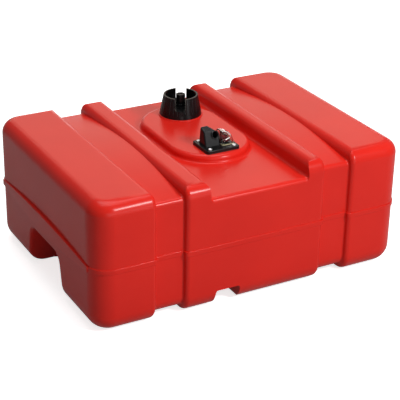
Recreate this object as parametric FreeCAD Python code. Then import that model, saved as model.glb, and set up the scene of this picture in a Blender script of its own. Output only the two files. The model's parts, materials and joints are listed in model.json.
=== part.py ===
import FreeCAD, Part
import math
import os

from FreeCAD import Vector

# Portable outboard fuel tank: a moulded shell with a vented filler cap and a withdrawal head
# that carries the hose port, the pickup tube and a float gauge.
# Frame: X along the length, -Y towards the front, Z up, origin under the middle of the feet.
# All sizes are millimetres.

# ---------------------------------------------------------------- tank shell
TANK_LENGTH = 600.0
TANK_WIDTH = 432.0
TANK_HEIGHT = 237.0
WALL = 4.5
CORNER_RADIUS = 38.0
TOP_EDGE_RADIUS = 24.0
BOTTOM_EDGE_RADIUS = 33.0

# two strap grooves run right round the shell
GROOVE_CENTRE = 161.5
GROOVE_WIDTH = 54.0
GROOVE_TOP_DEPTH = 19.5
GROOVE_SIDE_DEPTH = 10.0
GROOVE_BOTTOM_DEPTH = 10.0
GROOVE_TOP_ROUND = 8.0
GROOVE_BOTTOM_ROUND = 23.0
GROOVE_EDGE_RADIUS = 8.0
GROOVE_FOOT_RADIUS = 3.5
GROOVE_CROWN_DEPTH = 6.0
GROOVE_CROWN_REACH = 198.0
GROOVE_CROWN_LAP = 4.0

# the ribs beside the grooves, with the sunken panel between them
LEFT_RIB_WIDTH = 44.5
RIGHT_RIB_WIDTH = 34.0
PANEL_DEPTH = 28.5
PANEL_ROUND = 8.0
PANEL_FOOT_RADIUS = 5.0
RIB_CREST_RADIUS = 14.0

# underside
LEFT_FOOT_LIFT = 1.0
MIDDLE_FOOT_LIFT = 3.0
CHANNEL_CENTRE = -48.0
CHANNEL_WIDTH = 38.0
CHANNEL_DEPTH = 17.0
CHANNEL_EDGE_RADIUS = 6.0
CHANNEL_TOP_RADIUS = 5.0

# hand holds under both ends
HOLD_FRONT_Y = -60.0
HOLD_REAR_Y = 60.0
HOLD_FLARE = 16.0
HOLD_HEIGHT = 82.0
HOLD_DEPTH = 58.0
HOLD_CORNER_RADIUS = 20.0
HOLD_BACK_RADIUS = 12.0
HOLD_RIM_RADIUS = 6.0

# parting belt, which swells to a grip on the ends
BELT_Z = 117.0
BELT_HEIGHT = 9.0
BELT_PROUD = 1.6
BELT_ROUND = 1.0
BELT_CREST_RADIUS = 6.0
BELT_FOOT_RADIUS = 2.0
GRIP_TOP = 132.0
GRIP_BOTTOM = 100.0
GRIP_HALF_LENGTH = 188.0
GRIP_END_HEIGHT = 10.0
GRIP_PROUD = 5.0
GRIP_END_PROUD = 2.4
GRIP_ROUND = 1.8

# raised pad under the fittings
PAD_X = 11.0
PAD_FRONT_Y = -20.0
PAD_REAR_Y = 80.0
PAD_RADIUS = 75.0
PAD_HEIGHT = 14.0
PAD_EDGE_RADIUS = 8.0
PAD_FOOT_RADIUS = 5.0

# ---------------------------------------------------------------- filler neck and cap
FILLER_X = 24.0
FILLER_Y = 109.0
NECK_BORE = 22.5
NECK_WALL = 3.5
NECK_HEIGHT = 11.2
COLLAR_RADIUS = 41.5
COLLAR_HEIGHT = 1.8
COLLAR_EDGE_RADIUS = 1.2
CAP_GAP = 0.5
CAP_HEIGHT = 37.2
CAP_BASE_RADIUS = 39.3
CAP_RIM_RADIUS = 31.8
CAP_WALL = 3.0
CAP_BAND_HEIGHT = 7.0
CAP_SLOT_WIDTH = 19.5
CAP_SLOT_SILL = 0.4
CAP_SLOT_TURN = 61.0
CAP_SLOT_RADIUS = 1.5
CAP_FLUTES = 30
CAP_FLUTE_RADIUS = 2.0
CAP_FLUTE_DEPTH = 0.7
CAP_FLOOR_THICKNESS = 1.5
CAP_FLOOR_HOLE = 17.3
INNER_CAP_CLEARANCE = 0.35
INNER_CAP_WALL = 3.2
INNER_CAP_TOP = 2.5
INNER_CAP_LIFT = 1.6
CAP_GASKET_THICKNESS = 1.5
CAP_GASKET_LIP = 1.0
BOSS_STEP_RADIUS = 17.0
BOSS_STEP_HEIGHT = 2.5
BOSS_RADIUS = 9.5
BOSS_HEIGHT = 1.0
VENT_BORE = 3.0
VENT_STEM_CLEARANCE = 0.08
VENT_SEAT_RADIUS = 5.0
VENT_SEAT_DROP = 3.0
VENT_SEAL_THICKNESS = 1.2
VENT_SEAL_RADIUS = 6.5
VENT_KNOB_RADIUS = 9.0
VENT_KNOB_HEIGHT = 20.0
VENT_DISC_HEIGHT = 1.6
VENT_GRIP_RADIUS = 7.4
VENT_RIBS = 8
VENT_RIB_WIDTH = 1.6
VENT_RIB_PROUD = 1.0
VENT_TRAVEL = 1.9
VENT_CLIP_THICKNESS = 1.2
VENT_CLIP_RADIUS = 5.5
VENT_CLIP_SLACK = 0.2
VENT_STEM_TAIL = 1.5

# ---------------------------------------------------------------- withdrawal head
HEAD_X = 9.0
HEAD_Y = -54.0
FLANGE_LENGTH = 65.5
FLANGE_WIDTH = 57.0
FLANGE_THICKNESS = 4.5
FLANGE_CORNER_RADIUS = 5.0
FLANGE_EDGE_RADIUS = 1.5
HEAD_GASKET_THICKNESS = 1.5
HEAD_OPENING_RADIUS = 23.0
SCREW_SPACING_X = 48.0
SCREW_SPACING_Y = 43.0
SCREW_RADIUS = 2.0
SCREW_HOLE_CLEARANCE = 0.3
SCREW_HEAD_RADIUS = 3.5
SCREW_HEAD_HEIGHT = 2.0
SCREW_LENGTH = 14.0
INSERT_RADIUS = 4.0
INSERT_LENGTH = 10.0
INSERT_BOSS_WALL = 2.5
TOWER_LEFT_X = -15.5
TOWER_RIGHT_X = 12.5
TOWER_REAR_Y = -38.5
TOWER_BROW_Y = -53.0
TOWER_FOOT_Y = -65.5
TOWER_HEIGHT = 31.0
TOWER_BROW_HEIGHT = 25.5
TOWER_CREST_X = -5.0
TOWER_SHOULDER_HEIGHT = 19.5
TOWER_LEFT_DRAFT = 2.5
TOWER_CORNER_RADIUS = 6.0
TOWER_BROW_RADIUS = 3.0
TOWER_CREST_RADIUS = 9.0
TOWER_EDGE_RADIUS = 3.0
PORT_X = 4.6
PORT_ALONG = 0.3
PORT_BORE = 5.6
PORT_LENGTH = 13.0
PORT_WALL = 1.2
PORT_RING_WALL = 2.4
PORT_RING_PROUD = 2.0
PASSAGE_RADIUS = 2.6
PICKUP_RADIUS = 4.0
PICKUP_WALL = 0.9
SOCKET_WALL = 2.5
SOCKET_DROP = 12.0
PICKUP_ENTRY = 3.0
PICKUP_CLEARANCE = 14.0
FILTER_RADIUS = 8.0
FILTER_HEIGHT = 24.0
FILTER_WALL = 1.4
FILTER_CLEARANCE = 2.5
FILTER_WINDOWS = 8
FILTER_WINDOW_WIDTH = 3.4
FILTER_RING_HEIGHT = 3.0

# ---------------------------------------------------------------- float gauge
LENS_GAP = 0.5
LENS_RADIUS = 25.5
LENS_FRONT_Y = -68.5
LENS_REAR_Y = -46.5
LENS_WALL = 1.6
LENS_EDGE_RADIUS = 6.5
LENS_FOOT_WIDTH = 1.2
LENS_FOOT_THICKNESS = 1.4
LENS_GASKET_THICKNESS = 1.0
SCALE_THICKNESS = 1.2
SCALE_Y = -56.0
SCALE_CLEARANCE = 1.3
PIVOT_OFFSET = 7.5
PIVOT_HEIGHT = 4.5
LEVER_Y = -60.5
EAR_THICKNESS = 1.6
EAR_GAP = 3.4
EAR_RADIUS = 3.0
PIN_RADIUS = 0.9
PIN_CLEARANCE = 0.05
LEVER_HUB_RADIUS = 2.5
LEVER_HUB_WIDTH = 2.6
WIRE_RADIUS = 1.1
WELL_HALF_LENGTH = 6.2
LEG_LENGTH = 44.0
FLOAT_EMPTY_DIP_DEG = 64.6
FLOAT_REST_CLEARANCE = 3.0
FLOAT_FULL_CLEARANCE = 5.0
POINTER_EMPTY_DEG = 20.0
POINTER_LENGTH = 12.5
POINTER_RADIUS = 0.8
FLOAT_RADIUS = 15.0
FLOAT_LENGTH = 34.0
FLOAT_EDGE_RADIUS = 4.0
FLOAT_GAP = 3.5
CLIP_RADIUS = 3.4
CLIP_THICKNESS = 1.2
WIRE_TAIL = 2.5

# ---------------------------------------------------------------- levels that follow
HALF_LENGTH = TANK_LENGTH / 2.0
HALF_WIDTH = TANK_WIDTH / 2.0
GROOVE_FLOOR_Z = TANK_HEIGHT - GROOVE_TOP_DEPTH
PANEL_Z = TANK_HEIGHT - PANEL_DEPTH
PANEL_LEFT_X = -GROOVE_CENTRE + GROOVE_WIDTH / 2.0 + LEFT_RIB_WIDTH
PANEL_RIGHT_X = GROOVE_CENTRE - GROOVE_WIDTH / 2.0 - RIGHT_RIB_WIDTH
PAD_Z = PANEL_Z + PAD_HEIGHT
NECK_TOP_Z = PAD_Z + NECK_HEIGHT
NECK_RADIUS = NECK_BORE + NECK_WALL
CAP_BASE_Z = PAD_Z + COLLAR_HEIGHT + CAP_GAP
CAP_RIM_Z = CAP_BASE_Z + CAP_HEIGHT
INNER_CAP_BORE = NECK_RADIUS + INNER_CAP_CLEARANCE
INNER_CAP_RADIUS = INNER_CAP_BORE + INNER_CAP_WALL
INNER_CAP_UNDER_Z = NECK_TOP_Z + CAP_GASKET_THICKNESS
INNER_CAP_TOP_Z = INNER_CAP_UNDER_Z + INNER_CAP_TOP
CAP_FLOOR_Z = INNER_CAP_TOP_Z + CAP_FLOOR_THICKNESS
INNER_CAP_LOW_Z = PAD_Z + COLLAR_HEIGHT + INNER_CAP_LIFT
BOSS_TOP_Z = INNER_CAP_TOP_Z + BOSS_STEP_HEIGHT + BOSS_HEIGHT
VENT_KNOB_Z = BOSS_TOP_Z + VENT_SEAL_THICKNESS
VENT_STEM_RADIUS = VENT_BORE - VENT_STEM_CLEARANCE
VENT_SEAT_LOW_Z = INNER_CAP_UNDER_Z - VENT_SEAT_DROP
VENT_CLIP_TOP_Z = VENT_SEAT_LOW_Z - VENT_TRAVEL - VENT_CLIP_SLACK
FLANGE_Z = PAD_Z + HEAD_GASKET_THICKNESS
FLANGE_TOP_Z = FLANGE_Z + FLANGE_THICKNESS
TOWER_TOP_Z = FLANGE_TOP_Z + TOWER_HEIGHT
TOWER_BROW_Z = FLANGE_TOP_Z + TOWER_BROW_HEIGHT
TOWER_SHOULDER_Z = FLANGE_TOP_Z + TOWER_SHOULDER_HEIGHT
TOWER_ROOT_Z = FLANGE_TOP_Z - FLANGE_THICKNESS / 2.0
SOCKET_LOW_Z = FLANGE_Z - SOCKET_DROP
PICKUP_TOP_Z = FLANGE_Z + PICKUP_ENTRY
FLOOR_Z = MIDDLE_FOOT_LIFT + WALL
PICKUP_LOW_Z = FLOOR_Z + PICKUP_CLEARANCE
FILTER_LOW_Z = FLOOR_Z + FILTER_CLEARANCE
LENS_LEFT_X = TOWER_RIGHT_X + LENS_GAP
LENS_FOOT_Z = FLANGE_TOP_Z + LENS_GASKET_THICKNESS
PIVOT_X = LENS_LEFT_X + PIVOT_OFFSET
PIVOT_Z = FLANGE_TOP_Z + PIVOT_HEIGHT
FLOAT_REST_Z = GROOVE_BOTTOM_DEPTH + WALL + FLOAT_REST_CLEARANCE + FLOAT_RADIUS
FLOAT_FULL_Z = PANEL_Z - WALL - FLOAT_FULL_CLEARANCE - FLOAT_RADIUS
FLOAT_REACH = (PIVOT_Z - FLOAT_REST_Z) / math.sin(math.radians(FLOAT_EMPTY_DIP_DEG))
FLOAT_EMPTY_DEG = -FLOAT_EMPTY_DIP_DEG
FLOAT_FULL_DEG = -math.degrees(math.asin((PIVOT_Z - FLOAT_FULL_Z) / FLOAT_REACH))
SWING_DEG = FLOAT_FULL_DEG - FLOAT_EMPTY_DEG
LEG_EMPTY_DEG = -90.0 - SWING_DEG / 2.0
FLOAT_X = PIVOT_X + FLOAT_REACH * math.cos(math.radians(FLOAT_EMPTY_DEG))
FLOAT_Z = PIVOT_Z + FLOAT_REACH * math.sin(math.radians(FLOAT_EMPTY_DEG))
FLOAT_FRONT_Y = LEVER_Y + FLOAT_GAP
FLOAT_REAR_Y = FLOAT_FRONT_Y + FLOAT_LENGTH
MARGIN = 60.0


# ---------------------------------------------------------------- helpers
def in_plan(point):
    return Vector(point.x, point.y, 0)


def in_front_view(point):
    return Vector(point.x, 0, point.y)


def in_end_view(point):
    return Vector(0, point.x, point.y)


def rounded_wire(corners, place):
    """A closed wire through corners (u, v, radius), each corner rounded by its radius."""
    count = len(corners)
    starts = []
    middles = []
    ends = []
    for index, (u, v, radius) in enumerate(corners):
        here = Vector(u, v, 0)
        before = Vector(*corners[index - 1][:2], 0) - here
        after = Vector(*corners[(index + 1) % count][:2], 0) - here
        before.normalize()
        after.normalize()
        half = before.getAngle(after) / 2.0
        reach = radius / math.tan(half)
        bisector = before + after
        bisector.normalize()
        starts.append(here + before * reach)
        middles.append(here + bisector * (radius / math.sin(half) - radius))
        ends.append(here + after * reach)
    edges = []
    for index in range(count):
        if corners[index][2] > 0.0:
            arc = Part.Arc(place(starts[index]), place(middles[index]), place(ends[index]))
            edges.append(arc.toShape())
        following = starts[(index + 1) % count]
        if (following - ends[index]).Length > 1e-6:
            edges.append(Part.makeLine(place(ends[index]), place(following)))
    return Part.Wire(edges)


def prism(corners, place, start, length):
    """A solid on a rounded outline, moved by start and drawn out along length."""
    solid = Part.Face(rounded_wire(corners, place)).extrude(length)
    solid.translate(start)
    return solid


def rectangle(left, right, low, high, radius):
    return [(left, low, radius), (right, low, radius), (right, high, radius), (left, high, radius)]


def cylinder(radius, z_low, z_high, x=0.0, y=0.0):
    return Part.makeCylinder(radius, z_high - z_low, Vector(x, y, z_low))


def ring(outer, inner, z_low, z_high, x=0.0, y=0.0):
    return cylinder(outer, z_low, z_high, x, y).cut(cylinder(inner, z_low - 1, z_high + 1, x, y))


def cross_cylinder(radius, x, y_front, y_rear, z):
    return Part.makeCylinder(radius, y_rear - y_front, Vector(x, y_front, z), Vector(0, 1, 0))


def rod(radius, start, end):
    return Part.makeCylinder(radius, (end - start).Length, start, end - start)


def edges_where(shape, test):
    return [edge for edge in shape.Edges if test(edge)]


def lies_at_x(edge, x):
    return abs(edge.BoundBox.XMin - x) < 1e-3 and abs(edge.BoundBox.XMax - x) < 1e-3


def lies_at_z(edge, z):
    return abs(edge.BoundBox.ZMin - z) < 1e-3 and abs(edge.BoundBox.ZMax - z) < 1e-3


# ---------------------------------------------------------------- tank shell
def block_form(inset):
    """The plain rounded block that the grooves and the panel are let into."""
    low = inset
    high = TANK_HEIGHT - inset
    half_length = HALF_LENGTH - inset
    half_width = HALF_WIDTH - inset
    outline = rectangle(-half_length, half_length, -half_width, half_width, CORNER_RADIUS - inset)
    block = prism(outline, in_plan, Vector(0, 0, low), Vector(0, 0, high - low))
    block = block.makeFillet(TOP_EDGE_RADIUS - inset, edges_where(block, lambda edge: lies_at_z(edge, high)))
    return block.makeFillet(BOTTOM_EDGE_RADIUS - inset, edges_where(block, lambda edge: lies_at_z(edge, low)))


def sleeve(left, right, core, foot):
    """What is cut away between two X levels to leave only the core outline (in Y and Z)."""
    width = TANK_WIDTH + 2 * MARGIN
    height = TANK_HEIGHT + 2 * MARGIN
    wide = Part.makeBox(right - left, width, height, Vector(left, -HALF_WIDTH - MARGIN, -MARGIN))
    tunnel = prism(core, in_end_view, Vector(left - 1, 0, 0), Vector(right - left + 2, 0, 0))
    cutter = wide.cut(tunnel)
    rims = []
    for edge in cutter.Edges:
        at_wall = lies_at_x(edge, left) or lies_at_x(edge, right)
        box = edge.BoundBox
        in_width = max(-box.YMin, box.YMax) < HALF_WIDTH + 1
        in_height = box.ZMin > -1 - MARGIN / 2 and box.ZMax < TANK_HEIGHT
        if at_wall and in_width and in_height:
            rims.append(edge)
    return cutter.makeFillet(foot, rims)


def groove_sleeve(centre, inset):
    half_gap = GROOVE_WIDTH / 2.0 + inset
    half = HALF_WIDTH - GROOVE_SIDE_DEPTH - inset
    low = GROOVE_BOTTOM_DEPTH + inset
    high = GROOVE_FLOOR_Z - inset
    low_round = GROOVE_BOTTOM_ROUND - inset
    high_round = GROOVE_TOP_ROUND - inset
    core = [
        (-half, low, low_round),
        (half, low, low_round),
        (half, high, high_round),
        (-half, high, high_round),
    ]
    return sleeve(centre - half_gap, centre + half_gap, core, GROOVE_FOOT_RADIUS + inset)


def groove_crown(centre, inset):
    """The swelling of a groove's floor towards the middle of the tank's width."""
    half_gap = GROOVE_WIDTH / 2.0 + inset + GROOVE_CROWN_LAP
    floor = GROOVE_FLOOR_Z - inset
    crest = TANK_HEIGHT - GROOVE_CROWN_DEPTH - inset
    reach = GROOVE_CROWN_REACH
    root = floor - WALL / 2.0
    outline = Part.Wire([
        Part.Arc(Vector(0, -reach, floor), Vector(0, 0, crest), Vector(0, reach, floor)).toShape(),
        Part.makeLine(Vector(0, reach, floor), Vector(0, reach, root)),
        Part.makeLine(Vector(0, reach, root), Vector(0, -reach, root)),
        Part.makeLine(Vector(0, -reach, root), Vector(0, -reach, floor)),
    ])
    crown = Part.Face(outline).extrude(Vector(2 * half_gap, 0, 0))
    crown.translate(Vector(centre - half_gap, 0, 0))
    return crown


def panel_sleeve(inset):
    left = PANEL_LEFT_X - inset
    right = PANEL_RIGHT_X + inset
    half = HALF_WIDTH - inset
    high = PANEL_Z - inset
    round_over = PANEL_ROUND - inset
    core = [
        (-half, -MARGIN / 2, 0),
        (half, -MARGIN / 2, 0),
        (half, high, round_over),
        (-half, high, round_over),
    ]
    cutter = sleeve(left, right, core, PANEL_FOOT_RADIUS + inset)
    corner = Vector(-HALF_LENGTH, -HALF_WIDTH - MARGIN, high - round_over)
    return cutter.common(Part.makeBox(TANK_LENGTH, TANK_WIDTH + 2 * MARGIN, TANK_HEIGHT, corner))


def crest_bar(x, side, inset):
    """Rounds a crest that faces the given side (-1 or 1) of a wall at x, along the full width."""
    radius = RIB_CREST_RADIUS - inset
    top = TANK_HEIGHT - inset
    away = x - side * radius
    outline = Part.Wire([
        Part.makeLine(Vector(away, 0, top + 1), Vector(x + side, 0, top + 1)),
        Part.makeLine(Vector(x + side, 0, top + 1), Vector(x + side, 0, top - radius)),
        Part.makeLine(Vector(x + side, 0, top - radius), Vector(x, 0, top - radius)),
        Part.Arc(
            Vector(x, 0, top - radius),
            Vector(away + side * radius * math.sqrt(0.5), 0, top - radius + radius * math.sqrt(0.5)),
            Vector(away, 0, top),
        ).toShape(),
        Part.makeLine(Vector(away, 0, top), Vector(away, 0, top + 1)),
    ])
    bar = Part.Face(outline).extrude(Vector(0, TANK_WIDTH + 2, 0))
    bar.translate(Vector(0, -HALF_WIDTH - 1, 0))
    return bar


def channel_bar(inset):
    """The cross channel under the tank, with the lifted feet beside it."""
    left_wall = -GROOVE_CENTRE + GROOVE_WIDTH / 2.0
    right_wall = GROOVE_CENTRE - GROOVE_WIDTH / 2.0
    left = CHANNEL_CENTRE - CHANNEL_WIDTH / 2.0 - inset
    right = CHANNEL_CENTRE + CHANNEL_WIDTH / 2.0 + inset
    top = CHANNEL_DEPTH + inset
    edge = CHANNEL_EDGE_RADIUS - inset
    outline = [
        (left_wall - inset, -MARGIN, 0.0),
        (left_wall - inset, LEFT_FOOT_LIFT + inset, 0.0),
        (left, LEFT_FOOT_LIFT + inset, edge),
        (left, top, CHANNEL_TOP_RADIUS + inset),
        (right, top, CHANNEL_TOP_RADIUS + inset),
        (right, MIDDLE_FOOT_LIFT + inset, edge),
        (right_wall + inset, MIDDLE_FOOT_LIFT + inset, 0.0),
        (right_wall + inset, -MARGIN, 0.0),
    ]
    width = Vector(0, TANK_WIDTH + 2, 0)
    return prism(outline, in_front_view, Vector(0, -HALF_WIDTH - 1, 0), width)


def shell_form(inset):
    """The moulded form of the tank, or its hollow when inset is the wall."""
    form = block_form(inset)
    half_gap = GROOVE_WIDTH / 2.0 + inset
    walls = []
    for centre in (-GROOVE_CENTRE, GROOVE_CENTRE):
        form = form.cut(groove_sleeve(centre, inset))
        walls.append((centre - half_gap, 1))
        walls.append((centre + half_gap, -1))
    half = HALF_WIDTH - inset
    for x, side in walls:
        rims = []
        for edge in edges_where(form, lambda edge: lies_at_x(edge, x)):
            middle = edge.CenterOfMass
            on_side = abs(middle.y) > half - 9.0
            on_top = middle.z > TANK_HEIGHT - inset - 9.0
            if on_side or on_top or middle.z < inset + 9.0:
                rims.append(edge)
        form = form.makeFillet(GROOVE_EDGE_RADIUS - inset, rims)
    form = form.cut(panel_sleeve(inset))
    walls.append((PANEL_LEFT_X - inset, 1))
    walls.append((PANEL_RIGHT_X + inset, -1))
    for x, side in walls:
        form = form.cut(crest_bar(x, side, inset))
    for centre in (-GROOVE_CENTRE, GROOVE_CENTRE):
        form = form.fuse(groove_crown(centre, inset))
    return form.cut(channel_bar(inset))


def pad_form(inset):
    """The raised pad that carries the filler neck and the withdrawal head."""
    radius = PAD_RADIUS - inset
    outline = Part.Wire([
        Part.Arc(
            Vector(PAD_X - radius, PAD_FRONT_Y, 0),
            Vector(PAD_X, PAD_FRONT_Y - radius, 0),
            Vector(PAD_X + radius, PAD_FRONT_Y, 0),
        ).toShape(),
        Part.makeLine(Vector(PAD_X + radius, PAD_FRONT_Y, 0), Vector(PAD_X + radius, PAD_REAR_Y, 0)),
        Part.Arc(
            Vector(PAD_X + radius, PAD_REAR_Y, 0),
            Vector(PAD_X, PAD_REAR_Y + radius, 0),
            Vector(PAD_X - radius, PAD_REAR_Y, 0),
        ).toShape(),
        Part.makeLine(Vector(PAD_X - radius, PAD_REAR_Y, 0), Vector(PAD_X - radius, PAD_FRONT_Y, 0)),
    ])
    low = PANEL_Z - inset - 2 * WALL
    top = PAD_Z - inset
    pad = Part.Face(outline).extrude(Vector(0, 0, top - low))
    pad.translate(Vector(0, 0, low))
    return pad.makeFillet(PAD_EDGE_RADIUS - inset, edges_where(pad, lambda edge: lies_at_z(edge, top)))


def hand_hold(grow, end):
    """The hollow under one end, wider at the bottom; end is -1 or 1."""
    front = HOLD_FRONT_Y - grow
    rear = HOLD_REAR_Y + grow
    high = HOLD_HEIGHT + grow
    low = -MARGIN
    flare = HOLD_FLARE * (high - low) / HOLD_HEIGHT
    corner = HOLD_CORNER_RADIUS + grow
    outline = [(front - flare, low, 0), (rear + flare, low, 0), (rear, high, corner), (front, high, corner)]
    back = end * (HALF_LENGTH - HOLD_DEPTH - grow)
    outside = end * (HALF_LENGTH + MARGIN)
    hollow = prism(outline, in_end_view, Vector(back, 0, 0), Vector(outside - back, 0, 0))
    rims = edges_where(hollow, lambda edge: lies_at_x(edge, back) and edge.CenterOfMass.z > low + 1)
    return hollow.makeFillet(HOLD_BACK_RADIUS + grow, rims)


def hold_rims(form, end):
    """The edges where a hand hold breaks through the end face and the underside."""
    back = HALF_LENGTH - HOLD_DEPTH - 1
    front = HOLD_FRONT_Y - HOLD_FLARE - 2
    rear = HOLD_REAR_Y + HOLD_FLARE + 2
    rims = []
    for edge in form.Edges:
        box = edge.BoundBox
        in_length = min(end * box.XMin, end * box.XMax) > back
        in_width = box.YMin > front and box.YMax < rear
        in_height = box.ZMax < HOLD_HEIGHT + 1
        on_face = lies_at_x(edge, end * HALF_LENGTH) or lies_at_z(edge, 0.0)
        on_bend = box.ZMin < 1e-3 and abs(box.ZMax - BOTTOM_EDGE_RADIUS) < 1e-3
        if in_length and in_width and in_height and (on_face or on_bend):
            rims.append(edge)
    return rims


def belt_band():
    """The parting belt, which follows the walls of the grooves."""
    side = HALF_WIDTH + BELT_PROUD
    sunk = side - GROOVE_SIDE_DEPTH
    end = HALF_LENGTH + BELT_PROUD
    half_gap = GROOVE_WIDTH / 2.0 - BELT_PROUD
    front = [(-end, -side, CORNER_RADIUS + BELT_PROUD)]
    for centre in (-GROOVE_CENTRE, GROOVE_CENTRE):
        front.append((centre - half_gap, -side, BELT_CREST_RADIUS))
        front.append((centre - half_gap, -sunk, BELT_FOOT_RADIUS))
        front.append((centre + half_gap, -sunk, BELT_FOOT_RADIUS))
        front.append((centre + half_gap, -side, BELT_CREST_RADIUS))
    front.append((end, -side, CORNER_RADIUS + BELT_PROUD))
    rear = [(x, -y, radius) for x, y, radius in reversed(front)]
    low = BELT_Z - BELT_HEIGHT / 2.0
    high = BELT_Z + BELT_HEIGHT / 2.0
    band = prism(front + rear, in_plan, Vector(0, 0, low), Vector(0, 0, BELT_HEIGHT))
    rims = edges_where(band, lambda edge: lies_at_z(edge, low) or lies_at_z(edge, high))
    return band.makeFillet(BELT_ROUND, rims)


def end_grip(end):
    """The lens-shaped swelling of the belt on one end; end is -1 or 1."""
    half = GRIP_HALF_LENGTH
    tip_high = BELT_Z + GRIP_END_HEIGHT / 2.0
    tip_low = BELT_Z - GRIP_END_HEIGHT / 2.0
    lens = Part.Wire([
        Part.Arc(Vector(0, -half, tip_high), Vector(0, 0, GRIP_TOP), Vector(0, half, tip_high)).toShape(),
        Part.makeLine(Vector(0, half, tip_high), Vector(0, half, tip_low)),
        Part.Arc(Vector(0, half, tip_low), Vector(0, 0, GRIP_BOTTOM), Vector(0, -half, tip_low)).toShape(),
        Part.makeLine(Vector(0, -half, tip_low), Vector(0, -half, tip_high)),
    ])
    bar = Part.Face(lens).extrude(Vector(4 * GRIP_PROUD, 0, 0))
    bar.translate(Vector(end * HALF_LENGTH - 2 * GRIP_PROUD, 0, 0))
    tip_x = end * (HALF_LENGTH + GRIP_END_PROUD)
    crown_x = end * (HALF_LENGTH + GRIP_PROUD)
    root_x = end * (HALF_LENGTH - GRIP_PROUD)
    crown = Part.Wire([
        Part.Arc(Vector(tip_x, -half, 0), Vector(crown_x, 0, 0), Vector(tip_x, half, 0)).toShape(),
        Part.makeLine(Vector(tip_x, half, 0), Vector(root_x, half, 0)),
        Part.makeLine(Vector(root_x, half, 0), Vector(root_x, -half, 0)),
        Part.makeLine(Vector(root_x, -half, 0), Vector(tip_x, -half, 0)),
    ])
    grip = bar.common(Part.Face(crown).extrude(Vector(0, 0, TANK_HEIGHT)))
    rims = edges_where(grip, lambda edge: abs(edge.CenterOfMass.x) > HALF_LENGTH + 0.9 * GRIP_END_PROUD)
    return grip.makeFillet(GRIP_ROUND, rims)


def pad_foot(form):
    """The edge where the pad stands on the panel."""
    foot = []
    for edge in edges_where(form, lambda edge: lies_at_z(edge, PANEL_Z)):
        box = edge.BoundBox
        if box.XMin > PAD_X - PAD_RADIUS - 1 and box.XMax < PAD_X + PAD_RADIUS + 1:
            foot.append(edge)
    return foot


def screw_places():
    half_x = SCREW_SPACING_X / 2.0
    half_y = SCREW_SPACING_Y / 2.0
    return [(HEAD_X + sx * half_x, HEAD_Y + sy * half_y) for sx in (-1, 1) for sy in (-1, 1)]


def tank_body():
    outer = shell_form(0.0)
    inner = shell_form(WALL)
    for end in (-1, 1):
        outer = outer.cut(hand_hold(0.0, end))
        inner = inner.cut(hand_hold(WALL, end))
        outer = outer.makeFillet(HOLD_RIM_RADIUS, hold_rims(outer, end))
    outer = outer.fuse(pad_form(0.0))
    outer = outer.makeFillet(PAD_FOOT_RADIUS, pad_foot(outer))
    inner = inner.fuse(pad_form(WALL))
    outer = outer.fuse(belt_band())
    for end in (-1, 1):
        outer = outer.fuse(end_grip(end))
    collar = cylinder(COLLAR_RADIUS, PAD_Z - 1, PAD_Z + COLLAR_HEIGHT, FILLER_X, FILLER_Y)
    rim = edges_where(collar, lambda edge: lies_at_z(edge, PAD_Z + COLLAR_HEIGHT))
    outer = outer.fuse(collar.makeFillet(COLLAR_EDGE_RADIUS, rim))
    outer = outer.fuse(cylinder(NECK_RADIUS, PAD_Z - 1, NECK_TOP_Z, FILLER_X, FILLER_Y))
    shell = outer.cut(inner)
    for x, y in screw_places():
        boss_low = PAD_Z - INSERT_LENGTH - INSERT_BOSS_WALL
        shell = shell.fuse(cylinder(INSERT_RADIUS + INSERT_BOSS_WALL, boss_low, PAD_Z - 1, x, y))
    shell = shell.cut(cylinder(NECK_BORE, PAD_Z - MARGIN / 2, NECK_TOP_Z + 1, FILLER_X, FILLER_Y))
    shell = shell.cut(cylinder(HEAD_OPENING_RADIUS, PAD_Z - MARGIN / 2, PAD_Z + 1, HEAD_X, HEAD_Y))
    for x, y in screw_places():
        shell = shell.cut(cylinder(INSERT_RADIUS, PAD_Z - INSERT_LENGTH, PAD_Z + 1, x, y))
    return shell.removeSplitter()


def screw_inserts():
    solids = []
    for x, y in screw_places():
        solids.append(ring(INSERT_RADIUS, SCREW_RADIUS, PAD_Z - INSERT_LENGTH, PAD_Z, x, y))
    return Part.makeCompound(solids)


# ---------------------------------------------------------------- filler cap
def cap_cone(base_radius, rim_radius, z_low, z_high):
    """A slice of a cone that has the given radii at the base and the rim of the cap."""
    slope = (rim_radius - base_radius) / CAP_HEIGHT
    low_radius = base_radius + slope * (z_low - CAP_BASE_Z)
    high_radius = base_radius + slope * (z_high - CAP_BASE_Z)
    return Part.makeCone(low_radius, high_radius, z_high - z_low, Vector(FILLER_X, FILLER_Y, z_low))


def cap_flute(angle):
    """One upright flute in the skirt of the cap, from the base band to above the rim."""
    direction = Vector(math.cos(angle), math.sin(angle), 0)
    offset = CAP_FLUTE_RADIUS - CAP_FLUTE_DEPTH
    centre = Vector(FILLER_X, FILLER_Y, 0)
    slope = (CAP_RIM_RADIUS - CAP_BASE_RADIUS) / CAP_HEIGHT
    low_z = CAP_BASE_Z + CAP_BAND_HEIGHT
    high_z = CAP_RIM_Z + 2.0
    low = centre + direction * (CAP_BASE_RADIUS + slope * CAP_BAND_HEIGHT + offset) + Vector(0, 0, low_z)
    high = centre + direction * (CAP_RIM_RADIUS + slope * 2.0 + offset) + Vector(0, 0, high_z)
    return rod(CAP_FLUTE_RADIUS, low, high)


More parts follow.
